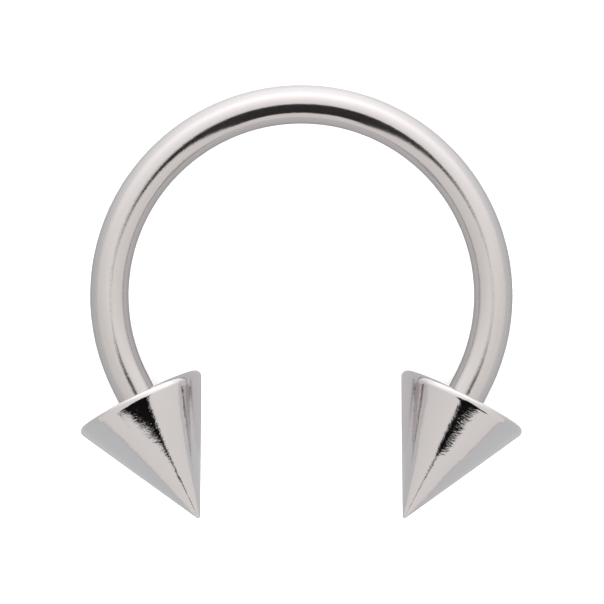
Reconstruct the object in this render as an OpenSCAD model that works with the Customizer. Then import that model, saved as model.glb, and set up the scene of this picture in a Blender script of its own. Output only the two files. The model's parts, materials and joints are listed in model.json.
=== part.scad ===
// Circular barbell: an open steel ring with a cone-shaped spike screwed on to each end.
// It lies on its side, on the bar's far edge and the rims of both spikes.

/* [Bar] */
// Diameter of the bar
bar_d = 1.6; // [1.4:0.05:1.8]
// Diameter of the ring, measured inside the bar
inner_d = 14.3; // [13:0.1:16]
// Straight length of the bar between its bend and each spike
straight_len = 0.8; // [0.5:0.1:1.5]

/* [Spikes] */
// Diameter of a spike at its base
spike_d = 5.55; // [4.5:0.05:6]
// Height of a spike from its base to its tip
spike_h = 5.55; // [5:0.05:7]
// Angle between a spike's axis and the centre line of the ring
spike_angle = 26.8; // [22:0.1:32]
// Rounding of the edge round the base
rim_r = 0.23; // [0.1:0.01:0.3]
// Rounding of the tip
tip_r = 0.1; // [0.05:0.01:0.2]

/* [Screw fit] */
// Length of the post that goes into each spike
post_len = 2.2; // [1.8:0.1:2.6]
// Width of the shoulder where the bar steps down to its post
shoulder = 0.05; // [0.05:0.01:0.15]
// Chamfer on the end of the post
post_chamfer = 0.2; // [0.1:0.05:0.3]
// Radial clearance between the post and its bore
bore_clearance = 0.03; // [0.01:0.01:0.06]
// Depth of bore left free beyond the end of the post
bore_spare = 0.3; // [0.2:0.05:0.5]
// Chamfer round the mouth of the bore
countersink = 0.13; // [0.08:0.01:0.2]
// Gap between the bar's shoulder and the base of the spike
seat_gap = 0.02; // [0.01:0.01:0.05]

/* [Hidden] */
$fn = 96;

// Light grey of polished steel under white light
steel = [0.83, 0.81, 0.81];
// Overlap that takes a cut past the surface that it opens
past = 0.1;
// Half of the angle at the point of a twist drill, which shapes the bottom of the bore
drill_half_angle = 59;
// The straight end starts inside the bend, a hair thinner than it, so that the two make one solid
end_overlap = 0.15;
end_step = 0.005;

bar_r = bar_d / 2;
end_r = bar_r - end_step;
ring_r = inner_d / 2 + bar_r;
post_r = bar_r - shoulder;
bore_r = post_r + bore_clearance;
bore_depth = post_len + bore_spare;

// The circle that rounds the rim has its centre this far from the spike's axis
rim_centre = spike_d / 2 - rim_r;
// The sphere that rounds the tip has its centre at this height above the base
tip_centre = spike_h - tip_r;

// Slope of the line that touches both roundings: their centres' line, turned for the radii
centre_rise = tip_centre - rim_r;
centre_span = sqrt(rim_centre * rim_centre + centre_rise * centre_rise);
flank_angle = atan2(rim_centre, centre_rise) + asin((rim_r - tip_r) / centre_span);
flank_out = [cos(flank_angle), sin(flank_angle)];

// Centre of a spike's base, in the plane of the ring with the bend's apex towards +Y
base_x = ring_r * cos(spike_angle) - straight_len * sin(spike_angle);
base_y = -ring_r * sin(spike_angle) - straight_len * cos(spike_angle);

// The ring lies on three points: the bar's apex and the lowest point of each rim.
// They are level at the tilt whose sine solves level_a * s^2 + 2 * level_b * s + level_c = 0.
rim_y = base_y - rim_r * cos(spike_angle);
rim_projected = rim_centre * cos(spike_angle);
apex_to_rim = ring_r - rim_y;
level_a = apex_to_rim * apex_to_rim + rim_projected * rim_projected;
level_b = apex_to_rim * (bar_r - rim_r);
level_c = (bar_r - rim_r) * (bar_r - rim_r) - rim_centre * rim_centre;
tilt = asin((sqrt(level_b * level_b - level_a * level_c) - level_b) / level_a);

// Lifts the lowest points to the floor, and puts the middle of the outline over the origin
tip_y = base_y - tip_centre * cos(spike_angle);
far_edge = ring_r * cos(tilt) + bar_r;
near_edge = tip_y * cos(tilt) - tip_r;
lift = ring_r * sin(tilt) + bar_r;
shift = -(far_edge + near_edge) / 2;

// Lays what is drawn in the plane of the ring down on the floor
module lying() {
    translate([0, shift, lift])
        rotate([-tilt, 0, 0])
            children();
}

// Puts children with +Z along a spike's axis and their origin at the centre of its base.
// side is -1 for the left end and +1 for the right end.
module at_end(side) {
    translate([side * base_x, base_y, 0])
        rotate([90, 0, -side * spike_angle])
            children();
}

// Half of the section through a bar end: straight stretch, shoulder, post and chamfer
module bar_end_section() {
    polygon([
        [0, -straight_len - end_overlap],
        [end_r, -straight_len - end_overlap],
        [end_r, -seat_gap],
        [post_r, -seat_gap],
        [post_r, post_len - post_chamfer],
        [post_r - post_chamfer, post_len],
        [0, post_len],
    ]);
}

// Half of the section through a spike, without its bore
module spike_outline() {
    intersection() {
        union() {
            polygon([
                [0, 0],
                [rim_centre, 0],
                [rim_centre, rim_r] + rim_r * flank_out,
                [0, tip_centre] + tip_r * flank_out,
                [0, tip_centre],
            ]);
            translate([rim_centre, rim_r])
                circle(rim_r);
            translate([0, tip_centre])
                circle(tip_r);
        }
        square([spike_d, spike_h + past]);
    }
}

// Half of the section through the bore, from its chamfered mouth to the cone left by the drill
module bore_section() {
    polygon([
        [-past, -past],
        [bore_r + countersink + past, -past],
        [bore_r, countersink],
        [bore_r, bore_depth],
        [0, bore_depth + bore_r / tan(drill_half_angle)],
        [-past, bore_depth + bore_r / tan(drill_half_angle)],
    ]);
}

// One spike, base on the XY plane and tip towards +Z
module spike() {
    rotate_extrude()
        difference() {
            spike_outline();
            bore_section();
        }
}

module bar() {
    color(steel)
        lying()
            union() {
                rotate([0, 0, -spike_angle])
                    rotate_extrude(angle = 180 + 2 * spike_angle)
                        translate([ring_r, 0])
                            circle(bar_r);
                for (side = [-1, 1])
                    at_end(side)
                        rotate_extrude()
                            bar_end_section();
            }
}

module left_spike() {
    color(steel)
        lying()
            at_end(-1)
                spike();
}

module right_spike() {
    color(steel)
        lying()
            at_end(1)
                spike();
}

bar();
left_spike();
right_spike();
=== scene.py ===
"""A circular barbell on a pale floor: a bent bar with threaded ends and two screw-on spikes."""

import json
import math
from typing import NamedTuple

import bpy
from bpy.props import FloatProperty, FloatVectorProperty, IntProperty, PointerProperty
from mathutils import Matrix, Vector


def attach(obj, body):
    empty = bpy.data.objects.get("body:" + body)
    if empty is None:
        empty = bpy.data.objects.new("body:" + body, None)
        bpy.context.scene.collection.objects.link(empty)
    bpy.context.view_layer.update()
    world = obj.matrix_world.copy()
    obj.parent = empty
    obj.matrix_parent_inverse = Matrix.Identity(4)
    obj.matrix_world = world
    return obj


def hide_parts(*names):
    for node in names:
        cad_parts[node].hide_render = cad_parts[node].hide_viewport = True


bl_info = {
    "name": "Circular Barbell",
    "version": (1, 0, 0),
    "blender": (4, 5, 0),
    "location": "View3D > Sidebar > Barbell",
    "description": "Models a steel circular barbell with two screw-on spikes",
    "category": "Add Mesh",
}

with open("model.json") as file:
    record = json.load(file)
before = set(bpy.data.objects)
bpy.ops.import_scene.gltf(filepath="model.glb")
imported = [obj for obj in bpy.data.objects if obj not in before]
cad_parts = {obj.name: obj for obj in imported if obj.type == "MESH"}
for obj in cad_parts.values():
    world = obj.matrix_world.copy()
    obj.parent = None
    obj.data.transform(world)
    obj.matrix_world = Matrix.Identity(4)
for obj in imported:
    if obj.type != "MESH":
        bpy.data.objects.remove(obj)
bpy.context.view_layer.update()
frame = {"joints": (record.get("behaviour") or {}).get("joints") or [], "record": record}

# The pieces are drawn in millimetres and brought to metres when they are set in place
MM = 0.001

# Edges that turn by more than this angle stay sharp when a piece is shaded
SHARP_ANGLE = math.radians(32)

# Added to a distance in a material or the world before something is divided by it
NEVER_ZERO = 0.001

# Half of the angle between the two sides of a thread's groove
THREAD_HALF_ANGLE = math.radians(30)

joints = {joint["child"]: joint for joint in frame["joints"]}
mounts = {mount["name"]: mount for mount in frame["record"]["mounts"]}
left_spike_axis = Vector(joints["left_spike"]["axis"])
bar_apex = Vector(mounts["bar_in_piercing"]["pos_m"])
left_back = Vector(mounts["left_spike_back"]["pos_m"])


class BarbellBarSettings(bpy.types.PropertyGroup):
    """Sizes of the bar and of its threaded ends, in millimetres"""

    bar_radius: FloatProperty(
        name="Bar Radius", description="Radius of the bar", default=0.8, min=0.1
    )
    inner_radius: FloatProperty(
        name="Inner Radius", description="Radius of the ring inside the bar", default=7.15, min=1
    )
    seat_gap: FloatProperty(
        name="Seat Gap", description="Gap between the shoulder and the spike", default=0.02
    )
    shoulder_chamfer: FloatProperty(
        name="Shoulder Chamfer", description="Chamfer on the edge of the shoulder", default=0.06
    )
    post_radius: FloatProperty(
        name="Post Radius", description="Radius over the crests of the thread", default=0.75
    )
    post_length: FloatProperty(
        name="Post Length", description="Length of the threaded post", default=2.2
    )
    post_chamfer: FloatProperty(
        name="Post Chamfer", description="Chamfer on the end of the post", default=0.2
    )
    neck_radius: FloatProperty(
        name="Neck Radius", description="Radius of the groove behind the thread", default=0.57
    )
    neck_length: FloatProperty(
        name="Neck Length", description="Length of the groove behind the thread", default=0.24
    )
    thread_pitch: FloatProperty(
        name="Thread Pitch", description="Distance from one turn to the next", default=0.35
    )
    thread_depth: FloatProperty(
        name="Thread Depth", description="Depth of the thread's groove", default=0.17
    )
    sides: IntProperty(name="Sides", description="Vertices round the bar", default=96, min=12)
    bend_steps: IntProperty(
        name="Bend Steps", description="Sections in half of the bend", default=150, min=12
    )


class BarbellSpikeSettings(bpy.types.PropertyGroup):
    """Sizes of the spikes and of their tapped holes, in millimetres"""

    base_radius: FloatProperty(
        name="Base Radius", description="Radius of the spike at its base", default=2.775
    )
    height: FloatProperty(name="Height", description="Height from base to tip", default=5.55)
    rim_radius: FloatProperty(
        name="Rim Rounding", description="Radius that rounds the base's edge", default=0.23
    )
    tip_radius: FloatProperty(
        name="Tip Rounding", description="Radius that rounds the tip", default=0.1
    )
    bore_radius: FloatProperty(
        name="Bore Radius", description="Radius of the drilled hole", default=0.78
    )
    bore_depth: FloatProperty(
        name="Bore Depth", description="Depth of the drilled hole", default=2.5
    )
    countersink: FloatProperty(
        name="Countersink", description="Chamfer round the mouth of the hole", default=0.13
    )
    thread_depth: FloatProperty(
        name="Thread Depth", description="Depth of the tapped groove", default=0.13
    )
    sides: IntProperty(name="Sides", description="Vertices round the spike", default=192, min=12)


class BarbellSteelSettings(bpy.types.PropertyGroup):
    """Colour and surface of the polished steel"""

    bar_colour: FloatVectorProperty(
        name="Bar Colour",
        description="Colour of the bar's steel",
        subtype="COLOR",
        size=3,
        min=0,
        max=1,
        default=(0.66, 0.615, 0.602),
    )
    spike_colour: FloatVectorProperty(
        name="Spike Colour",
        description="Colour of the spikes' steel",
        subtype="COLOR",
        size=3,
        min=0,
        max=1,
        default=(0.72, 0.678, 0.67),
    )
    roughness: FloatProperty(
        name="Roughness",
        description="Roughness of the polish",
        subtype="FACTOR",
        min=0,
        max=1,
        default=0.1,
    )


class BarbellStageSettings(bpy.types.PropertyGroup):
    """Camera and light"""

    focal_length: FloatProperty(
        name="Focal Length", description="Focal length of the lens", unit="CAMERA", default=1200
    )
    lean: FloatProperty(
        name="Lean",
        description="Angle of the camera from the vertical, towards the closed end",
        unit="ROTATION",
        default=math.radians(3.9),
    )
    scale: FloatProperty(
        name="Scale", description="Pixels to the millimetre in the picture", default=24.15
    )
    brightness: FloatProperty(
        name="Brightness", description="Strength of the soft light", default=1.7
    )
    window_turn: FloatProperty(
        name="Window Turn",
        description="Angle of the bright window to the left of the closed end",
        unit="ROTATION",
        default=math.radians(3),
    )
    floor_light: FloatProperty(
        name="Floor Light", description="Strength of the light on the floor", default=4.5
    )


class BarbellSettings(bpy.types.PropertyGroup):
    """All settings of the barbell"""

    bar: PointerProperty(type=BarbellBarSettings)
    spike: PointerProperty(type=BarbellSpikeSettings)
    steel: PointerProperty(type=BarbellSteelSettings)
    stage: PointerProperty(type=BarbellStageSettings)


def settings():
    """The scene's settings for the barbell."""
    return bpy.context.scene.barbell


# Places, worked out from the frame

def ring_radius():
    """Radius of the bend along the middle of the bar, in millimetres."""
    bar = settings().bar
    return bar.inner_radius + bar.bar_radius


def ring_place():
    """Matrix from the plane of the ring, closed end towards +Y, to where the ring lies."""
    tilt = math.atan2(left_spike_axis.z, -left_spike_axis.y)
    turn = Matrix.Rotation(-tilt, 4, "X")
    centre = bar_apex - turn @ Vector((0, ring_radius() * MM, 0))
    return Matrix.Translation(centre) @ turn @ Matrix.Scale(MM, 4)


def straight_length():
    """Length of straight bar between the bend and the base of a spike, in millimetres."""
    centre = ring_place().translation
    return (left_back - centre).dot(left_spike_axis) / MM


def end_in_ring(side):
    """Matrix from a spike's own axes to the plane of the ring.

    A spike's base is centred on the origin, its tip is towards +Z, and +X points into the ring.
    The right end is the left one turned half round, so both have a right-hand thread.
    """
    angle = math.asin(left_spike_axis.x)
    bend_end = Matrix.Rotation(angle, 4, "Z") @ Vector((-ring_radius(), 0, 0))
    along = Vector((math.sin(angle), -math.cos(angle), 0))
    left = (
        Matrix.Translation(bend_end + along * straight_length())
        @ Matrix.Rotation(angle, 4, "Z")
        @ Matrix.Rotation(math.pi / 2, 4, "X")
    )
    return left if side == "left" else Matrix.Rotation(math.pi, 4, "Y") @ left


# Modelling steps

def clear_selection():
    """Leaves nothing selected."""
    if bpy.context.mode != "OBJECT":
        bpy.ops.object.mode_set(mode="OBJECT")
    bpy.ops.object.select_all(action="DESELECT")


def take_up(piece):
    """Makes a piece the only one selected, and active."""
    clear_selection()
    piece.select_set(True)
    bpy.context.view_layer.objects.active = piece


def name_new(name):
    """Names the object that was just added, and returns it."""
    piece = bpy.context.active_object
    piece.name = name
    piece.data.name = name
    return piece


def pick_vertices(piece, test):
    """Selects the vertices whose place passes a test, and stays in edit mode."""
    bpy.ops.object.mode_set(mode="EDIT")
    bpy.ops.mesh.select_mode(type="VERT")
    bpy.ops.mesh.select_all(action="DESELECT")
    bpy.ops.object.mode_set(mode="OBJECT")
    for vertex in piece.data.vertices:
        vertex.select = test(vertex.co)
    bpy.ops.object.mode_set(mode="EDIT")


def turn_on_lathe(points, start):
    """Extrudes the selected ring round Z through (radius, height) points, from the point start."""
    radius, height = start
    for next_radius, next_height in points:
        bpy.ops.mesh.extrude_region_move(
            TRANSFORM_OT_translate={"value": (0, 0, next_height - height)}
        )
        if next_radius != radius:
            scale = next_radius / radius
            bpy.ops.transform.resize(
                value=(scale, scale, 1), center_override=(0, 0, next_height)
            )
        radius, height = next_radius, next_height


def close_to_point():
    """Ends the selected ring in a fan round one point at its middle."""
    bpy.ops.mesh.extrude_region_move()
    bpy.ops.mesh.merge(type="CENTER")


def arc(centre, radius, start, stop, steps):
    """Points on an arc of a section, after its start, as (radius, height) pairs."""
    angles = [start + (stop - start) * step / steps for step in range(1, steps + 1)]
    return [
        (centre[0] + radius * math.cos(angle), centre[1] + radius * math.sin(angle))
        for angle in angles
    ]


def move_mesh(piece, matrix):
    """Moves a piece by a matrix and applies its place, turn and scale."""
    take_up(piece)
    piece.matrix_world = matrix
    bpy.ops.object.transform_apply(location=True, rotation=True, scale=True)


def copy_of(piece, name):
    """A copy with its own mesh."""
    take_up(piece)
    bpy.ops.object.duplicate()
    return name_new(name)


def join(pieces):
    """Joins pieces into the first of them."""
    take_up(pieces[0])
    for piece in pieces[1:]:
        piece.select_set(True)
    bpy.ops.object.join()
    return pieces[0]


def edit_all(piece, operator, **options):
    """Runs an edit mode operator on the whole of a piece."""
    take_up(piece)
    bpy.ops.object.mode_set(mode="EDIT")
    bpy.ops.mesh.select_all(action="SELECT")
    operator(**options)
    bpy.ops.object.mode_set(mode="OBJECT")


def merge_close(piece, distance):
    """Merges the vertices that are closer together than a distance in millimetres."""
    edit_all(piece, bpy.ops.mesh.remove_doubles, threshold=distance)


def face_outwards(piece):
    """Points every face of a closed mesh outwards."""
    edit_all(piece, bpy.ops.mesh.normals_make_consistent, inside=False)


def cut(piece, tool):
    """Cuts a tool's shape out of a piece, deletes the tool and closes hairline slits."""
    hairline = 0.001
    take_up(piece)
    modifier = piece.modifiers.new("cut", "BOOLEAN")
    modifier.operation = "DIFFERENCE"
    modifier.solver = "EXACT"
    modifier.object = tool
    bpy.ops.object.modifier_apply(modifier=modifier.name)
    bpy.data.objects.remove(tool)
    merge_close(piece, hairline)


def thread_cutter(wide, narrow, start, stop, pitch):
    """A right-hand helix round Z that cuts a thread's groove between two heights.

    wide and narrow are the (radius, width) of the open side and of the bottom of the groove.
    """
    steps_per_turn = 64
    wide_radius, wide_width = wide
    narrow_radius, narrow_width = narrow
    depth = narrow_radius - wide_radius
    middle = wide_radius + depth / 2
    clear_selection()
    bpy.ops.mesh.primitive_plane_add(
        size=1, location=(middle, 0, start), rotation=(math.pi / 2, 0, 0)
    )
    cutter = name_new("thread_cutter")
    bpy.ops.object.transform_apply(location=True, rotation=True, scale=True)
    bpy.ops.object.mode_set(mode="EDIT")
    bpy.ops.transform.resize(
        value=(abs(depth), 1, wide_width), center_override=(middle, 0, start)
    )
    pick_vertices(cutter, lambda place: (place.x - middle) * depth > 0)
    bpy.ops.transform.resize(
        value=(1, 1, narrow_width / wide_width), center_override=(narrow_radius, 0, start)
    )
    bpy.ops.mesh.select_all(action="SELECT")
    bpy.ops.mesh.delete(type="ONLY_FACE")
    bpy.ops.object.mode_set(mode="OBJECT")
    helix = cutter.modifiers.new("helix", "SCREW")
    helix.axis = "Z"
    helix.screw_offset = pitch
    helix.iterations = max(1, round((stop - start) / pitch))
    helix.steps = steps_per_turn
    helix.render_steps = steps_per_turn
    bpy.ops.object.modifier_apply(modifier=helix.name)
    edit_all(cutter, bpy.ops.mesh.fill_holes, sides=4)
    face_outwards(cutter)
    return cutter


def finish_piece(piece, body, node, material):
    """Shades a piece, gives it its material and puts it in the place of its CAD node."""
    take_up(piece)
    bpy.ops.object.shade_smooth_by_angle(angle=SHARP_ANGLE)
    piece.data.materials.clear()
    piece.data.materials.append(material)
    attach(piece, body)
    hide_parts(node)


# Pieces

def half_bar():
    """Half of the bar in a spike's axes: its post, its straight end and its half of the bend."""
    bar = settings().bar
    straight = straight_length()
    clear_selection()
    bpy.ops.mesh.primitive_circle_add(
        vertices=bar.sides, radius=bar.bar_radius, location=(0, 0, -straight)
    )
    piece = name_new("bar_half")
    bpy.ops.object.transform_apply(location=True, rotation=True, scale=True)
    bpy.ops.object.mode_set(mode="EDIT")
    bpy.ops.mesh.select_all(action="SELECT")
    edge = bar.bar_radius - bar.shoulder_chamfer
    thread_start = bar.neck_length + bar.post_radius - bar.neck_radius
    turn_on_lathe(
        [
            (bar.bar_radius, -bar.seat_gap - bar.shoulder_chamfer),
            (edge, -bar.seat_gap),
            (bar.neck_radius, -bar.seat_gap),
            (bar.neck_radius, bar.neck_length),
            (bar.post_radius, thread_start),
            (bar.post_radius, bar.post_length - bar.post_chamfer),
            (bar.post_radius - bar.post_chamfer, bar.post_length),
        ],
        start=(bar.bar_radius, -straight),
    )
    close_to_point()
    pick_vertices(piece, lambda place: place.z < -straight / 2)
    bpy.ops.mesh.spin(
        steps=bar.bend_steps,
        angle=math.pi / 2 + math.asin(left_spike_axis.x),
        center=(ring_radius(), 0, -straight),
        axis=(0, 1, 0),
    )
    bpy.ops.object.mode_set(mode="OBJECT")
    return piece


def whole_bar():
    """The bar in the plane of the ring: two halves that meet at the closed end."""
    seam = 0.002
    left = half_bar()
    right = copy_of(left, "bar_half_right")
    move_mesh(left, end_in_ring("left"))
    move_mesh(right, end_in_ring("right"))
    bar = join([left, right])
    merge_close(bar, seam)
    face_outwards(bar)
    return bar


def cut_bar_threads(bar):
    """Cuts the outside thread into both posts."""
    sizes = settings().bar
    root_width = 0.06
    clear_of_post = 0.08
    run_in = 0.02
    slope = math.tan(THREAD_HALF_ANGLE)
    open_width = root_width + 2 * slope * (sizes.thread_depth + clear_of_post)
    for side in ("left", "right"):
        cutter = thread_cutter(
            wide=(sizes.post_radius + clear_of_post, open_width),
            narrow=(sizes.post_radius - sizes.thread_depth, root_width),
            start=sizes.neck_length - run_in,
            stop=sizes.post_length + sizes.thread_pitch,
            pitch=sizes.thread_pitch,
        )
        move_mesh(cutter, end_in_ring(side))
        cut(bar, cutter)


def straight_line(start, stop, steps, support):
    """Points on a line of a section, after its start, as (radius, height) pairs.

    Besides the even steps there is a point at a distance, support, from either end.
    """
    length = math.hypot(start[0] - stop[0], start[1] - stop[1])
    shares = [support / length]
    shares += [step / steps for step in range(1, steps)]
    shares += [1 - support / length, 1]
    return [
        (start[0] + (stop[0] - start[0]) * share, start[1] + (stop[1] - start[1]) * share)
        for share in shares
    ]


def spike_section():
    """Half of the section through a spike, from the wall of its hole to beside its tip."""
    sizes = settings().spike
    rim_centre = (sizes.base_radius - sizes.rim_radius, sizes.rim_radius)
    tip_centre = (0, sizes.height - sizes.tip_radius)
    rise = tip_centre[1] - rim_centre[1]
    lean = math.atan2(rim_centre[0], rise)
    span = math.hypot(rim_centre[0], rise)
    flank_normal = lean + math.asin((sizes.rim_radius - sizes.tip_radius) / span)
    mouth = sizes.bore_radius + sizes.countersink
    # A ring this close to a rounding keeps the flat and the flank beside it evenly shaded
    support = 0.03
    tip_end = math.radians(84)
    rim = arc(rim_centre, sizes.rim_radius, -math.pi / 2, flank_normal, steps=14)
    tip = arc(tip_centre, sizes.tip_radius, flank_normal, tip_end, steps=8)
    flank_top = (
        tip_centre[0] + sizes.tip_radius * math.cos(flank_normal),
        tip_centre[1] + sizes.tip_radius * math.sin(flank_normal),
    )
    flank = straight_line(rim[-1], flank_top, steps=16, support=support)
    base = [
        (sizes.bore_radius, sizes.countersink),
        (mouth, 0),
        (mouth + support, 0),
        (rim_centre[0] - support, 0),
        (rim_centre[0], 0),
    ]
    return base + rim + flank + tip


def spike_body():
    """A spike in its own axes, turned in one pass from the bottom of its hole to its tip."""
    sizes = settings().spike
    drill_half_angle = math.radians(59)
    clear_selection()
    bpy.ops.mesh.primitive_circle_add(
        vertices=sizes.sides,
        radius=sizes.bore_radius,
        fill_type="TRIFAN",
        location=(0, 0, sizes.bore_depth),
    )
    piece = name_new("spike")
    bpy.ops.object.transform_apply(location=True, rotation=True, scale=True)
    pick_vertices(piece, lambda place: math.hypot(place.x, place.y) < sizes.bore_radius / 2)
    drill_point = sizes.bore_radius / math.tan(drill_half_angle)
    bpy.ops.transform.translate(value=(0, 0, drill_point))
    pick_vertices(piece, lambda place: math.hypot(place.x, place.y) > sizes.bore_radius / 2)
    turn_on_lathe(spike_section(), start=(sizes.bore_radius, sizes.bore_depth))
    close_to_point()
    bpy.ops.object.mode_set(mode="OBJECT")
    face_outwards(piece)
    return piece


def tap_spike(piece):
    """Cuts the inside thread into the hole of a spike."""
    sizes = settings().spike
    pitch = settings().bar.thread_pitch
    root_width = 0.05
    clear_of_wall = 0.05
    slope = math.tan(THREAD_HALF_ANGLE)
    open_width = root_width + 2 * slope * (sizes.thread_depth + clear_of_wall)
    cutter = thread_cutter(
        wide=(sizes.bore_radius - clear_of_wall, open_width),
        narrow=(sizes.bore_radius + sizes.thread_depth, root_width),
        start=-pitch,
        stop=sizes.bore_depth - pitch,
        pitch=pitch,
    )
    cut(piece, cutter)


# Materials

class Wire:
    """A value on its way through a material or world. Arithmetic on it adds Math nodes."""

    def __init__(self, tree, socket):
        self.tree = tree
        self.socket = socket

    def math(self, operation, *values):
        """A Math node on this value and others."""
        return self.tree.math(operation, self, *values)

    def __add__(self, other):
        return self.math("ADD", other)

    def __radd__(self, other):
        return self.tree.math("ADD", other, self)

    def __sub__(self, other):
        return self.math("SUBTRACT", other)

    def __rsub__(self, other):
        return self.tree.math("SUBTRACT", other, self)

    def __mul__(self, other):
        return self.math("MULTIPLY", other)

    def __rmul__(self, other):
        return self.tree.math("MULTIPLY", other, self)

    def __truediv__(self, other):
        return self.math("DIVIDE", other)

    def __rtruediv__(self, other):
        return self.tree.math("DIVIDE", other, self)


class Part:
    """One node of a material or world, whose outputs are Wires."""

    def __init__(self, tree, node):
        self.tree = tree
        self.node = node

    def out(self, name=0):
        """The output with this name or number."""
        return Wire(self.tree, self.node.outputs[name])


class Tree:
    """The nodes of a material or world."""

    def __init__(self, owner):
        owner.use_nodes = True
        self.nodes = owner.node_tree.nodes
        self.links = owner.node_tree.links
        self.nodes.clear()

    def add(self, kind, choices=None, sockets=None):
        """A node of this kind, with its settings made and then its sockets set or linked."""
        node = self.nodes.new(kind)
        for name, value in (choices or {}).items():
            if name == "stops":
                self.set_stops(node.color_ramp, value)
            else:
                setattr(node, name, value)
        for name, value in (sockets or {}).items():
            if isinstance(value, Wire):
                self.links.new(value.socket, node.inputs[name])
            else:
                node.inputs[name].default_value = value
        return Part(self, node)

    def math(self, operation, *values):
        """A Math node on numbers and Wires."""
        return self.add("ShaderNodeMath", {"operation": operation}, dict(enumerate(values))).out()

    @staticmethod
    def set_stops(ramp, stops):
        """Gives a colour ramp its stops, each a position and a colour."""
        while len(ramp.elements) < len(stops):
            ramp.elements.new(1)
        for element, (position, colour) in zip(ramp.elements, stops):
            element.position = position
            element.color = (*colour, 1)


def own_axes(tree, place):
    """Object coordinates brought back to the axes and millimetres that a piece was drawn in."""
    position, turn, _ = place.decompose()
    objects = tree.add("ShaderNodeTexCoord").out("Object")
    mapped = tree.add(
        "ShaderNodeMapping",
        {"vector_type": "TEXTURE"},
        {
            "Vector": objects,
            "Location": position,
            "Rotation": turn.to_euler(),
            "Scale": (MM, MM, MM),
        },
    )
    return mapped.out()


def split(tree, vector):
    """The three numbers of a vector."""
    parts = tree.add("ShaderNodeSeparateXYZ", None, {0: vector})
    return parts.out("X"), parts.out("Y"), parts.out("Z")


def from_axis(x, y):
    """Distance from the Z axis."""
    return (x * x + y * y).math("SQRT")


def noise(tree, vector, scale, detail):
    """Noise between 0 and 1."""
    sockets = {"Vector": vector, "Scale": scale, "Detail": detail}
    return tree.add("ShaderNodeTexNoise", None, sockets).out(0)


def marks(tree, along, across, up, density, spread, shift=0.0):
    """Noise that changes quickly along a piece and slowly round it, as polishing marks do."""
    point = tree.add(
        "ShaderNodeCombineXYZ",
        None,
        {0: along * density + shift, 1: across * spread, 2: up * spread},
    )
    return noise(tree, point.out(), scale=1.0, detail=2.0)


def steel(name, colour, shine, edge, surface):
    """Polished steel, with the share of its light that is mirrored and the brightness of its edge.

    surface gives its roughness and the height of its marks in millimetres.
    """
    material = bpy.data.materials.new(name)
    tree = Tree(material)
    roughness, height = surface(tree)
    bump = tree.add(
        "ShaderNodeBump", None, {"Strength": 1.0, "Distance": MM, "Height": height}
    )
    shader = tree.add(
        "ShaderNodeBsdfPrincipled",
        None,
        {
            "Base Color": (*colour, 1),
            "Metallic": shine,
            "Roughness": roughness,
            "Specular Tint": (edge, edge, edge, 1.0),
            "Normal": bump.out(),
        },
    )
    tree.add("ShaderNodeOutputMaterial", None, {"Surface": shader.out()})
    return material


def bar_surface(tree):
    """Roughness of the bar and height of its marks, which run round the bent bar."""
    grain_depth = 0.0018
    wave_depth = 0.003
    ring_depth = 0.0012
    haze_roughness = 0.18
    polish = settings().steel.roughness * 0.6
    place = own_axes(tree, ring_place())
    x, y, z = split(tree, place)
    outward = from_axis(x, y) - ring_radius()
    along = x.math("ARCTAN2", y) * ring_radius()
    grain = noise(tree, place, scale=26.0, detail=1.0)
    wave = noise(tree, place, scale=0.9, detail=1.0)
    rings = marks(tree, along, outward, z, density=12.0, spread=3.0)
    haze = noise(tree, place, scale=19.0, detail=0.0)
    # The bar is duller on the outer side of the ring
    worn_from = 0.1
    worn_rate = 0.35
    worn = outward.math("MAXIMUM", worn_from) * worn_rate - worn_from * worn_rate
    roughness = haze * haze * haze_roughness + worn + polish
    # The bar turns down a little towards its ends, more at the left
    turn_start = 14.6
    turn_fade = 1.5
    turn_slope = 0.0162
    turn_difference = 0.0005
    beyond = along.math("ABSOLUTE").math("SMOOTH_MAX", turn_start, turn_fade) - turn_start
    ends = beyond * (along * turn_difference - turn_slope)
    return roughness, grain * grain_depth + wave * wave_depth + rings * ring_depth + ends


class Flank(NamedTuple):
    """How a spike's flank departs from a true cone, in slopes and in millimetres"""

    # Place in the noise where the marks start
    shift: float
    # Slope across the flank, what is added to it at the rim, and the height over which that fades
    lean: float
    rim_lean: float
    rim_lean_height: float
    # Slope of the rounding towards the base, how far up it goes, its fade, and the slope all over
    slope: float
    reach: float
    fade: float
    slope_all_over: float
    # Depth and height of the rounding beside the rim
    edge_depth: float
    edge_height: float


FLANKS = {
    "left": Flank(
        shift=0.0,
        lean=0.03,
        rim_lean=-0.063,
        rim_lean_height=0.16,
        slope=0.18,
        reach=1.06,
        fade=2.5,
        slope_all_over=-0.083,
        edge_depth=0.072,
        edge_height=0.27,
    ),
    "right": Flank(
        shift=31.0,
        lean=-0.029,
        rim_lean=-0.026,
        rim_lean_height=0.385,
        slope=0.082,
        reach=2.6,
        fade=0.58,
        slope_all_over=-0.098,
        edge_depth=0.1,
        edge_height=0.15,
    ),
}


def flank_form(side, x, z):
    """Height by which a spike's flank departs from a true cone."""
    form = FLANKS[side]
    # A narrow band beside the rim faces more towards the tip
    rim_slope = -0.455
    rim_height = 0.197
    rim_fade = 0.09
    rim = z.math("SMOOTH_MIN", rim_height, rim_fade) * rim_slope
    edge = (z * (-1 / form.edge_height)).math("EXPONENT") * -form.edge_depth
    towards_base = z.math("SMOOTH_MIN", form.reach, form.fade) * form.slope
    rounding = towards_base + z * form.slope_all_over + edge + rim
    rim_lean = (z * (-1 / form.rim_lean_height)).math("EXPONENT") * form.rim_lean
    leaning = x * (rim_lean + form.lean)
    return leaning + rounding


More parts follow.
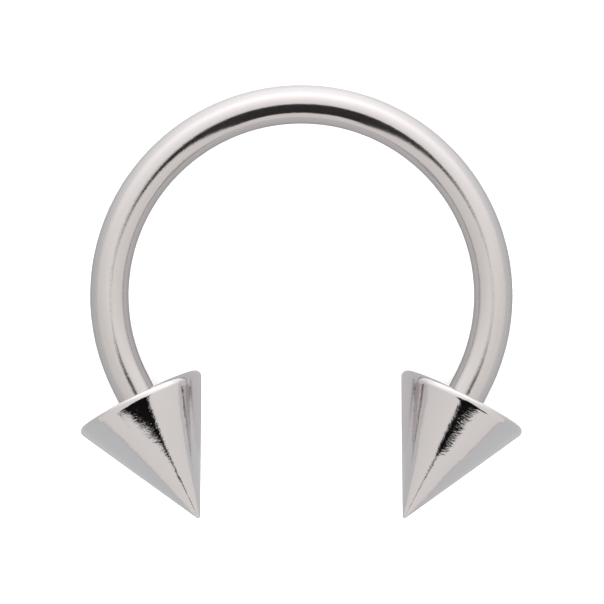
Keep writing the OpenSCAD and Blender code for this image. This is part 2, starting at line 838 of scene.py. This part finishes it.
def spike_surface(side):
    """A function for the roughness of a spike and the height of its turning marks."""
    shift = FLANKS[side].shift
    polish = settings().steel.roughness * 0.25
    grain_roughness = 0.03
    grain_depth = 0.0016
    # Depth of the fine rings at the spike's axis, and what each millimetre away from it adds
    ring_depth = 0.0008
    ring_depth_rate = 0.0014
    # Depth of the waves, and what is added to it on the outer side of the spike
    wave_depth = 0.012
    outer_wave_depth = 0.06

    def surface(tree):
        place = own_axes(tree, ring_place() @ end_in_ring(side))
        x, y, z = split(tree, place)
        radius = from_axis(x, y) + NEVER_ZERO
        grain = noise(tree, place, scale=20.0, detail=2.0)
        rings = marks(tree, z, x / radius, y / radius, density=17.0, spread=13.0, shift=shift)
        waves = marks(tree, z, x / radius, y / radius, density=1.6, spread=1.2, shift=shift)
        outer = (x / radius * -1).math("MAXIMUM", 0).math("POWER", 3)
        fine = grain * grain_depth + rings * (radius * ring_depth_rate + ring_depth)
        coarse = waves * (outer * outer_wave_depth + wave_depth)
        height = fine + coarse + flank_form(side, x, z)
        return grain * grain_roughness + polish, height

    return surface


# Stage

def matt_material(name, colour, roughness):
    """A finish without any shine, for the floor and the cards."""
    material = bpy.data.materials.new(name)
    tree = Tree(material)
    shader = tree.add(
        "ShaderNodeBsdfPrincipled",
        None,
        {
            "Base Color": (*colour, 1),
            "Roughness": roughness,
            "Specular IOR Level": 0.0,
        },
    )
    tree.add("ShaderNodeOutputMaterial", None, {"Surface": shader.out()})
    return material


def camera_turn():
    """The camera's turn: it looks down, leant towards the closed end, with that end upwards."""
    return Matrix.Rotation(-settings().stage.lean, 4, "X")


def add_floor():
    """The pale surface that the ring lies on, which isn't reflected in the steel."""
    clear_selection()
    bpy.ops.mesh.primitive_plane_add(size=4, location=(0, 0, 0))
    floor = name_new("floor")
    floor.data.materials.append(matt_material("pale_floor", (0.93, 0.93, 0.93), roughness=0.8))
    floor.visible_glossy = False


def show_only_in_steel(card):
    """Hides a card from all but the steel's reflections."""
    card.visible_camera = False
    card.visible_diffuse = False
    card.visible_shadow = False


def card_from_rows(name, rows):
    """A flat card cut to an outline, from the height, left edge and right edge of each row."""
    clear_selection()
    bpy.ops.mesh.primitive_plane_add(size=1)
    card = name_new(name)
    pick_vertices(card, lambda place: place.y > 0)
    bpy.ops.mesh.delete(type="VERT")
    bpy.ops.mesh.select_all(action="SELECT")
    # What is left of the new plane is its lower edge, which is moved to each row in turn
    width = 1
    middle = Vector((0, -0.5, 0))
    for number, (height, left, right) in enumerate(rows):
        if number > 0:
            bpy.ops.mesh.extrude_region_move()
        next_middle = Vector(((left + right) / 2, height, 0))
        bpy.ops.transform.translate(value=next_middle - middle)
        bpy.ops.transform.resize(
            value=((right - left) / width, 1, 1), center_override=next_middle
        )
        width = right - left
        middle = next_middle
    bpy.ops.object.mode_set(mode="OBJECT")
    return card


def add_dark_card():
    """A dark card with a fin and three feet, which gives the steel its dark reflections.

    It is parallel to the picture, and its sizes are for a distance of one metre.
    """
    distance = 0.095
    body = [
        (0.165, -0.02, 0.0),
        (0.14, -0.045, 0.015),
        (0.118, -0.09, 0.022),
        (0.1, -0.13, 0.03),
        (0.085, -0.17, 0.2),
        (0.05, -0.225, 0.31),
        (0.0, -0.26, 0.33),
        (-0.315, -0.39, 0.39),
        (-0.71, -0.5, 0.51),
        (-1.05, -0.59, 0.58),
        (-1.17, -0.59, 0.58),
        (-1.22, -0.48, 0.5),
    ]
    fin = [
        (0.165, 0.18, 0.215),
        (0.135, 0.12, 0.185),
        (0.12, 0.105, 0.175),
        (0.1, 0.11, 0.15),
    ]
    left_foot = [
        (-1.17, -0.59, -0.44),
        (-1.28, -0.63, -0.5),
        (-1.36, -0.645, -0.56),
        (-1.5, -0.645, -0.56),
    ]
    middle_foot = [
        (-1.17, -0.2, 0.12),
        (-1.22, -0.17, 0.04),
        (-1.28, -0.13, -0.04),
    ]
    right_foot = [
        (-1.17, 0.1, 0.58),
        (-1.25, 0.38, 0.61),
        (-1.28, 0.53, 0.63),
        (-1.45, 0.54, 0.63),
    ]
    parts = [body, fin, left_foot, middle_foot, right_foot]
    card = join([card_from_rows("dark_card", rows) for rows in parts])
    place = ring_place().translation + camera_turn() @ Vector((0, 0, distance))
    card.matrix_world = Matrix.Translation(place) @ camera_turn() @ Matrix.Scale(distance, 4)
    card.data.materials.append(matt_material("dark_card", (0.003, 0.003, 0.003), roughness=1.0))
    show_only_in_steel(card)


def add_grey_card():
    """A grey card just above the floor inside the ring, for the shadow that the steel reflects."""
    above_floor = 0.02 * MM
    clear_selection()
    bpy.ops.mesh.primitive_circle_add(
        vertices=96, radius=settings().bar.inner_radius * MM, fill_type="NGON"
    )
    card = name_new("grey_card")
    card.location = (0, ring_place().translation.y, above_floor)
    card.data.materials.append(matt_material("grey_card", (0.27, 0.27, 0.275), roughness=1.0))
    show_only_in_steel(card)


def grey_stops(levels):
    """Grey stops for a colour ramp, from pairs of a position and a level."""
    return [(position, (level, level, level)) for position, level in levels]


def add_soft_light():
    """A soft dome of light with a tall bright window on the side of the closed end.

    The lower half of the dome is what the steel reflects in place of the floor.
    """
    window_lift = math.radians(1.2)
    window_falloff = 2.2
    window_light = (0.97, 1.0, 1.02, 1.0)
    from_right = 0.04
    stage = settings().stage
    world = bpy.data.worlds.new("soft_light")
    tree = Tree(world)
    direction = tree.add("ShaderNodeTexCoord").out("Generated")
    turned = tree.add(
        "ShaderNodeMapping",
        None,
        {"Vector": direction, "Rotation": (window_lift, 0, -stage.window_turn)},
    )
    x, y, z = split(tree, turned.out())
    level = from_axis(x, y) + NEVER_ZERO
    facing_window = (y / level).math("MAXIMUM", 0).math("POWER", window_falloff)
    # Straight down is 0, level is 0.5 and straight up is 1
    height = z * 0.5 + 0.5
    window_levels = [
        (0.0, 0.5),
        (0.03, 0.68),
        (0.08, 0.74),
        (0.5, 0.76),
        (0.65, 1.0),
        (0.75, 1.0),
        (0.855, 0.62),
        (0.92, 0.42),
        (1.0, 0.08),
    ]
    window = tree.add("ShaderNodeValToRGB", {"stops": grey_stops(window_levels)}, {0: height})
    dome = tree.add(
        "ShaderNodeValToRGB",
        {
            "stops": [
                (0.0, (0.34, 0.345, 0.35)),
                (0.08, (0.4, 0.405, 0.41)),
                (0.2, (0.385, 0.4, 0.412)),
                (0.5, (0.376, 0.394, 0.408)),
                (0.53, (0.392, 0.405, 0.415)),
                (0.55, (0.33, 0.335, 0.34)),
                (0.565, (0.38, 0.38, 0.38)),
                (0.59, (0.485, 0.483, 0.478)),
                (0.7, (0.495, 0.494, 0.488)),
                (0.8, (0.505, 0.505, 0.5)),
                (1.0, (0.535, 0.535, 0.53)),
            ]
        },
        {0: height},
    )
    # A Mix node has its factor at 0 and, for colours, its two inputs at 6 and 7, its output at 2
    light = tree.add(
        "ShaderNodeMix",
        {"data_type": "RGBA"},
        {0: facing_window * window.out(), 6: dome.out(), 7: window_light},
    )
    # A little more light comes from the right of the closed end than from its left
    side = x * (y / level + 1) * from_right + 1
    sided = tree.add(
        "ShaderNodeVectorMath", {"operation": "SCALE"}, {0: light.out(2), "Scale": side}
    )
    background = tree.add(
        "ShaderNodeBackground", None, {"Color": sided.out(), "Strength": stage.brightness}
    )
    tree.add("ShaderNodeOutputWorld", None, {"Surface": background.out()})
    bpy.context.scene.world = world


def add_floor_light():
    """Soft light from above that brightens the floor and isn't reflected in the steel."""
    lamp = bpy.data.lights.new("floor_light", "SUN")
    lamp.energy = settings().stage.floor_light
    lamp.angle = math.radians(60)
    holder = bpy.data.objects.new("floor_light", lamp)
    holder.visible_glossy = False
    bpy.context.scene.collection.objects.link(holder)


def add_camera():
    """A long lens at the photograph's angle, with the ring where the photograph has it."""
    stage = settings().stage
    frame_px = 604
    ring_centre_px = (301.34, 295.45)
    camera = bpy.data.cameras.new("camera")
    camera.lens = stage.focal_length
    camera.clip_start = 0.01
    camera.clip_end = 10
    view_width = frame_px / stage.scale * MM
    distance = view_width * camera.lens / camera.sensor_width
    off_centre = Vector((ring_centre_px[0] - frame_px / 2, frame_px / 2 - ring_centre_px[1], 0))
    turn = camera_turn()
    aim = ring_place().translation - turn @ (off_centre / stage.scale * MM)
    holder = bpy.data.objects.new("camera", camera)
    holder.matrix_world = Matrix.Translation(aim + turn @ Vector((0, 0, distance))) @ turn
    bpy.context.scene.collection.objects.link(holder)
    bpy.context.scene.camera = holder


# Operators, one for the bar, one for the spikes and one for the stage

class MESH_OT_barbell_bar(bpy.types.Operator):
    """Models the bent bar with its two threaded ends"""

    bl_idname = "mesh.barbell_bar"
    bl_label = "Bar"
    bl_options = {"REGISTER", "UNDO"}

    def execute(self, context):
        bar = whole_bar()
        cut_bar_threads(bar)
        move_mesh(bar, ring_place())
        bar.name = "bar_piece"
        colour = settings().steel.bar_colour
        material = steel("bar_steel", colour, shine=0.99, edge=0.65, surface=bar_surface)
        finish_piece(bar, "bar", "bar", material)
        return {"FINISHED"}


class MESH_OT_barbell_spikes(bpy.types.Operator):
    """Models the two screw-on spikes with their tapped holes"""

    bl_idname = "mesh.barbell_spikes"
    bl_label = "Spikes"
    bl_options = {"REGISTER", "UNDO"}

    def execute(self, context):
        left = spike_body()
        tap_spike(left)
        right = copy_of(left, "right_spike_piece")
        left.name = "left_spike_piece"
        for side, piece in (("left", left), ("right", right)):
            move_mesh(piece, ring_place() @ end_in_ring(side))
            colour = settings().steel.spike_colour
            surface = spike_surface(side)
            material = steel(f"{side}_spike_steel", colour, shine=1.0, edge=1.0, surface=surface)
            node = f"{side}_spike"
            finish_piece(piece, node, node, material)
        return {"FINISHED"}


class SCENE_OT_barbell_stage(bpy.types.Operator):
    """Sets the floor, the two cards, the lights and the camera"""

    bl_idname = "scene.barbell_stage"
    bl_label = "Stage"
    bl_options = {"REGISTER", "UNDO"}

    def execute(self, context):
        add_floor()
        add_dark_card()
        add_grey_card()
        add_soft_light()
        add_floor_light()
        add_camera()
        context.scene.view_settings.view_transform = "Standard"
        return {"FINISHED"}


class VIEW3D_PT_barbell(bpy.types.Panel):
    """Lists the steps that build the barbell, and its settings"""

    bl_label = "Circular Barbell"
    bl_idname = "VIEW3D_PT_barbell"
    bl_space_type = "VIEW_3D"
    bl_region_type = "UI"
    bl_category = "Barbell"

    def draw(self, context):
        layout = self.layout
        for operator in OPERATORS:
            layout.operator(operator.bl_idname)
        barbell = context.scene.barbell
        for group in (barbell.bar, barbell.spike, barbell.steel, barbell.stage):
            box = layout.box()
            for name in group.__annotations__:
                box.prop(group, name)


OPERATORS = (MESH_OT_barbell_bar, MESH_OT_barbell_spikes, SCENE_OT_barbell_stage)
CLASSES = (
    BarbellBarSettings,
    BarbellSpikeSettings,
    BarbellSteelSettings,
    BarbellStageSettings,
    BarbellSettings,
    *OPERATORS,
    VIEW3D_PT_barbell,
)


def register():
    """Registers the classes and the scene's settings."""
    for cls in CLASSES:
        bpy.utils.register_class(cls)
    bpy.types.Scene.barbell = PointerProperty(type=BarbellSettings)


def unregister():
    """Takes the settings and the classes away again."""
    del bpy.types.Scene.barbell
    for cls in reversed(CLASSES):
        bpy.utils.unregister_class(cls)


def main():
    """Builds the barbell and its stage."""
    register()
    bpy.ops.mesh.barbell_bar()
    bpy.ops.mesh.barbell_spikes()
    bpy.ops.scene.barbell_stage()


if __name__ == "__main__":
    main()
